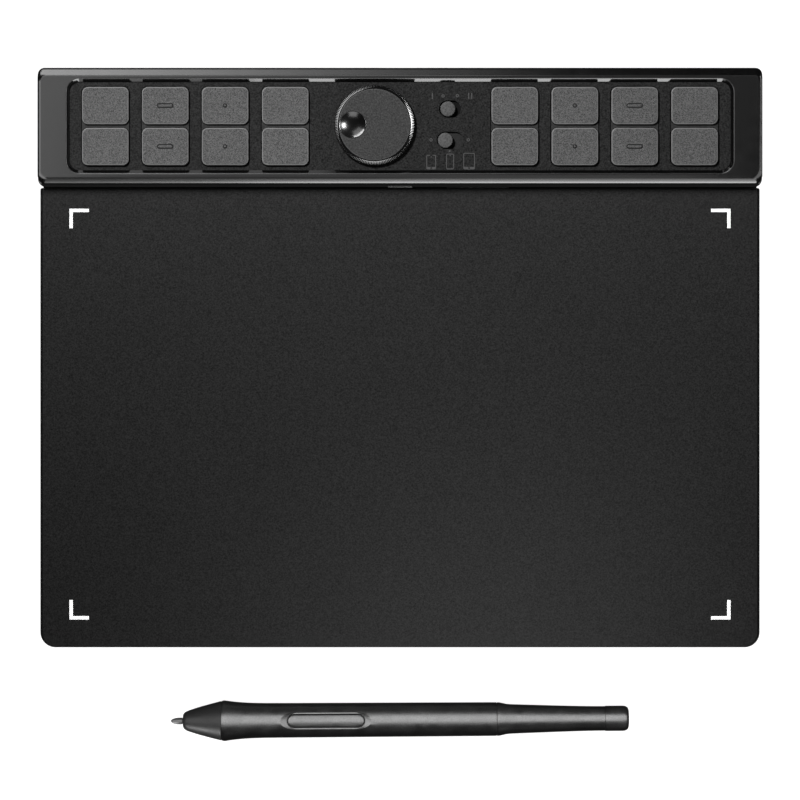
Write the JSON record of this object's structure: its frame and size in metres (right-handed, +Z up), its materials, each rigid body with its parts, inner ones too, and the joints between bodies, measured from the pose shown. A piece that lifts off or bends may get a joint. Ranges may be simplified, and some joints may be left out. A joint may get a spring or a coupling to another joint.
{
  "type": "pen drawing tablet",
  "caption": "Flat pen drawing tablet with a raised control head holding express keys, a rotary dial and slide switches, and a pen lying in front of it.",
  "frame": {"origin": "on the desk, at the centre of the footprint of the tablet and the pen lying in front of it", "axes": "+X along the control head to the right, +Y from the user towards the control head, +Z up"},
  "size_m": [0.2782, 0.2586, 0.0156],
  "materials": {
    "base_plastic": "fine matte moulded plastic",
    "bezel_plastic": "satin gloss moulded plastic",
    "pad_plastic": "matte moulded plastic",
    "drawing_film": "fine-grained matte film with printed corner marks",
    "panel_plastic": "fine spark-eroded texture with printed icons",
    "key_plastic": "fine matte key plastic with rubbed edges",
    "dial_plastic": "soft matte plastic",
    "dial_metal": "finely knurled, dark polished",
    "dish_plastic": "polished black",
    "steel": "drawn steel",
    "board": "solder-masked circuit board",
    "ribbon_film": "flat flexible cable film",
    "chip_plastic": "moulded electronic part",
    "mat_silicone": "silicone",
    "foot_rubber": "soft black rubber",
    "lens_plastic": "cloudy light lens",
    "pen_plastic": "satin dark plastic",
    "nose_plastic": "firm rubberised grip",
    "nib_plastic": "hard nib plastic",
    "coil_copper": "enamelled copper winding"
  },
  "bodies": {
    "tablet": {"base_cover": "base_plastic", "usb_port_bezel": "base_plastic", "head_cover": "bezel_plastic", "pad_top_cover": "pad_plastic", "drawing_sheet": "drawing_film", "control_panel": "panel_plastic", "key_guide_left": "key_plastic", "key_guide_right": "key_plastic", "shield_plate": "steel", "usb_c_socket": "steel", "mode_switch_body": "steel", "device_switch_body": "steel", "pad_screw_1": "steel", "pad_screw_2": "steel", "pad_screw_3": "steel", "pad_screw_4": "steel", "head_screw_1": "steel", "head_screw_2": "steel", "sensor_board": "board", "control_board": "board", "board_ribbon": "ribbon_film", "controller_chip": "chip_plastic", "encoder_body": "chip_plastic", "key_mat_left": "mat_silicone", "key_mat_right": "mat_silicone", "foot_rear_left": "foot_rubber", "foot_rear_right": "foot_rubber", "foot_front_left": "foot_rubber", "foot_front_right": "foot_rubber", "status_light_lens": "lens_plastic"},
    "dial": {"dial_cap": "dial_plastic", "dial_rim": "dial_metal", "dial_finger_dish": "dish_plastic", "encoder_shaft": "steel"},
    "pen": {"pen_barrel": "pen_plastic", "pen_nose": "nose_plastic", "pen_tail": "pen_plastic", "pen_end_cap": "pen_plastic", "pen_board": "board", "pen_coil": "coil_copper"},
    "pen_nib": {"pen_nib": "nib_plastic"},
    "pen_button": {"pen_side_button": "pen_plastic"},
    "mode_slider": {"mode_slider": "key_plastic"},
    "device_slider": {"device_slider": "key_plastic"},
    "key_left_1_upper": {"key_left_1_upper": "key_plastic"},
    "key_left_1_lower": {"key_left_1_lower": "key_plastic"},
    "key_left_2_upper": {"key_left_2_upper": "key_plastic"},
    "key_left_2_lower": {"key_left_2_lower": "key_plastic"},
    "key_left_3_upper": {"key_left_3_upper": "key_plastic"},
    "key_left_3_lower": {"key_left_3_lower": "key_plastic"},
    "key_left_4_upper": {"key_left_4_upper": "key_plastic"},
    "key_left_4_lower": {"key_left_4_lower": "key_plastic"},
    "key_right_1_upper": {"key_right_1_upper": "key_plastic"},
    "key_right_1_lower": {"key_right_1_lower": "key_plastic"},
    "key_right_2_upper": {"key_right_2_upper": "key_plastic"},
    "key_right_2_lower": {"key_right_2_lower": "key_plastic"},
    "key_right_3_upper": {"key_right_3_upper": "key_plastic"},
    "key_right_3_lower": {"key_right_3_lower": "key_plastic"},
    "key_right_4_upper": {"key_right_4_upper": "key_plastic"},
    "key_right_4_lower": {"key_right_4_lower": "key_plastic"}
  },
  "joints": [
    {"name": "key_left_1_upper_press", "type": "slide", "parent": "tablet", "child": "key_left_1_upper", "axis": [0, 0, -1], "range_m": [0, 0.0007], "stiffness_N_per_m": 400, "springref_m": -0.0003},
    {"name": "key_left_1_lower_press", "type": "slide", "parent": "tablet", "child": "key_left_1_lower", "axis": [0, 0, -1], "range_m": [0, 0.0007], "stiffness_N_per_m": 400, "springref_m": -0.0003},
    {"name": "key_left_2_upper_press", "type": "slide", "parent": "tablet", "child": "key_left_2_upper", "axis": [0, 0, -1], "range_m": [0, 0.0007], "stiffness_N_per_m": 400, "springref_m": -0.0003},
    {"name": "key_left_2_lower_press", "type": "slide", "parent": "tablet", "child": "key_left_2_lower", "axis": [0, 0, -1], "range_m": [0, 0.0007], "stiffness_N_per_m": 400, "springref_m": -0.0003},
    {"name": "key_left_3_upper_press", "type": "slide", "parent": "tablet", "child": "key_left_3_upper", "axis": [0, 0, -1], "range_m": [0, 0.0007], "stiffness_N_per_m": 400, "springref_m": -0.0003},
    {"name": "key_left_3_lower_press", "type": "slide", "parent": "tablet", "child": "key_left_3_lower", "axis": [0, 0, -1], "range_m": [0, 0.0007], "stiffness_N_per_m": 400, "springref_m": -0.0003},
    {"name": "key_left_4_upper_press", "type": "slide", "parent": "tablet", "child": "key_left_4_upper", "axis": [0, 0, -1], "range_m": [0, 0.0007], "stiffness_N_per_m": 400, "springref_m": -0.0003},
    {"name": "key_left_4_lower_press", "type": "slide", "parent": "tablet", "child": "key_left_4_lower", "axis": [0, 0, -1], "range_m": [0, 0.0007], "stiffness_N_per_m": 400, "springref_m": -0.0003},
    {"name": "key_right_1_upper_press", "type": "slide", "parent": "tablet", "child": "key_right_1_upper", "axis": [0, 0, -1], "range_m": [0, 0.0007], "stiffness_N_per_m": 400, "springref_m": -0.0003},
    {"name": "key_right_1_lower_press", "type": "slide", "parent": "tablet", "child": "key_right_1_lower", "axis": [0, 0, -1], "range_m": [0, 0.0007], "stiffness_N_per_m": 400, "springref_m": -0.0003},
    {"name": "key_right_2_upper_press", "type": "slide", "parent": "tablet", "child": "key_right_2_upper", "axis": [0, 0, -1], "range_m": [0, 0.0007], "stiffness_N_per_m": 400, "springref_m": -0.0003},
    {"name": "key_right_2_lower_press", "type": "slide", "parent": "tablet", "child": "key_right_2_lower", "axis": [0, 0, -1], "range_m": [0, 0.0007], "stiffness_N_per_m": 400, "springref_m": -0.0003},
    {"name": "key_right_3_upper_press", "type": "slide", "parent": "tablet", "child": "key_right_3_upper", "axis": [0, 0, -1], "range_m": [0, 0.0007], "stiffness_N_per_m": 400, "springref_m": -0.0003},
    {"name": "key_right_3_lower_press", "type": "slide", "parent": "tablet", "child": "key_right_3_lower", "axis": [0, 0, -1], "range_m": [0, 0.0007], "stiffness_N_per_m": 400, "springref_m": -0.0003},
    {"name": "key_right_4_upper_press", "type": "slide", "parent": "tablet", "child": "key_right_4_upper", "axis": [0, 0, -1], "range_m": [0, 0.0007], "stiffness_N_per_m": 400, "springref_m": -0.0003},
    {"name": "key_right_4_lower_press", "type": "slide", "parent": "tablet", "child": "key_right_4_lower", "axis": [0, 0, -1], "range_m": [0, 0.0007], "stiffness_N_per_m": 400, "springref_m": -0.0003},
    {"name": "dial_turn", "type": "hinge", "parent": "tablet", "child": "dial", "pos_m": [-0.00978, 0.1072, 0.0125], "axis": [0, 0, 1], "continuous": true},
    {"name": "mode_slide", "type": "slide", "parent": "tablet", "child": "mode_slider", "axis": [1, 0, 0], "range_m": [0, 0.0016]},
    {"name": "device_slide", "type": "slide", "parent": "tablet", "child": "device_slider", "axis": [1, 0, 0], "range_m": [0, 0.0034]},
    {"name": "pen_lift", "type": "slide", "parent": "tablet", "child": "pen", "axis": [0, 0, 1], "range_m": [0, 0.1]},
    {"name": "nib_press", "type": "slide", "parent": "pen", "child": "pen_nib", "axis": [0.9999, 0.0054, -0.0129], "range_m": [0, 0.0006], "stiffness_N_per_m": 900, "springref_m": -0.0002},
    {"name": "pen_button_rock", "type": "hinge", "parent": "pen", "child": "pen_button", "pos_m": [-0.0284, -0.12125, 0.01129], "axis": [-0.0054, 1, 0], "range_deg": [-1.5, 1.5], "stiffness_Nm_per_rad": 0.3}
  ]
}
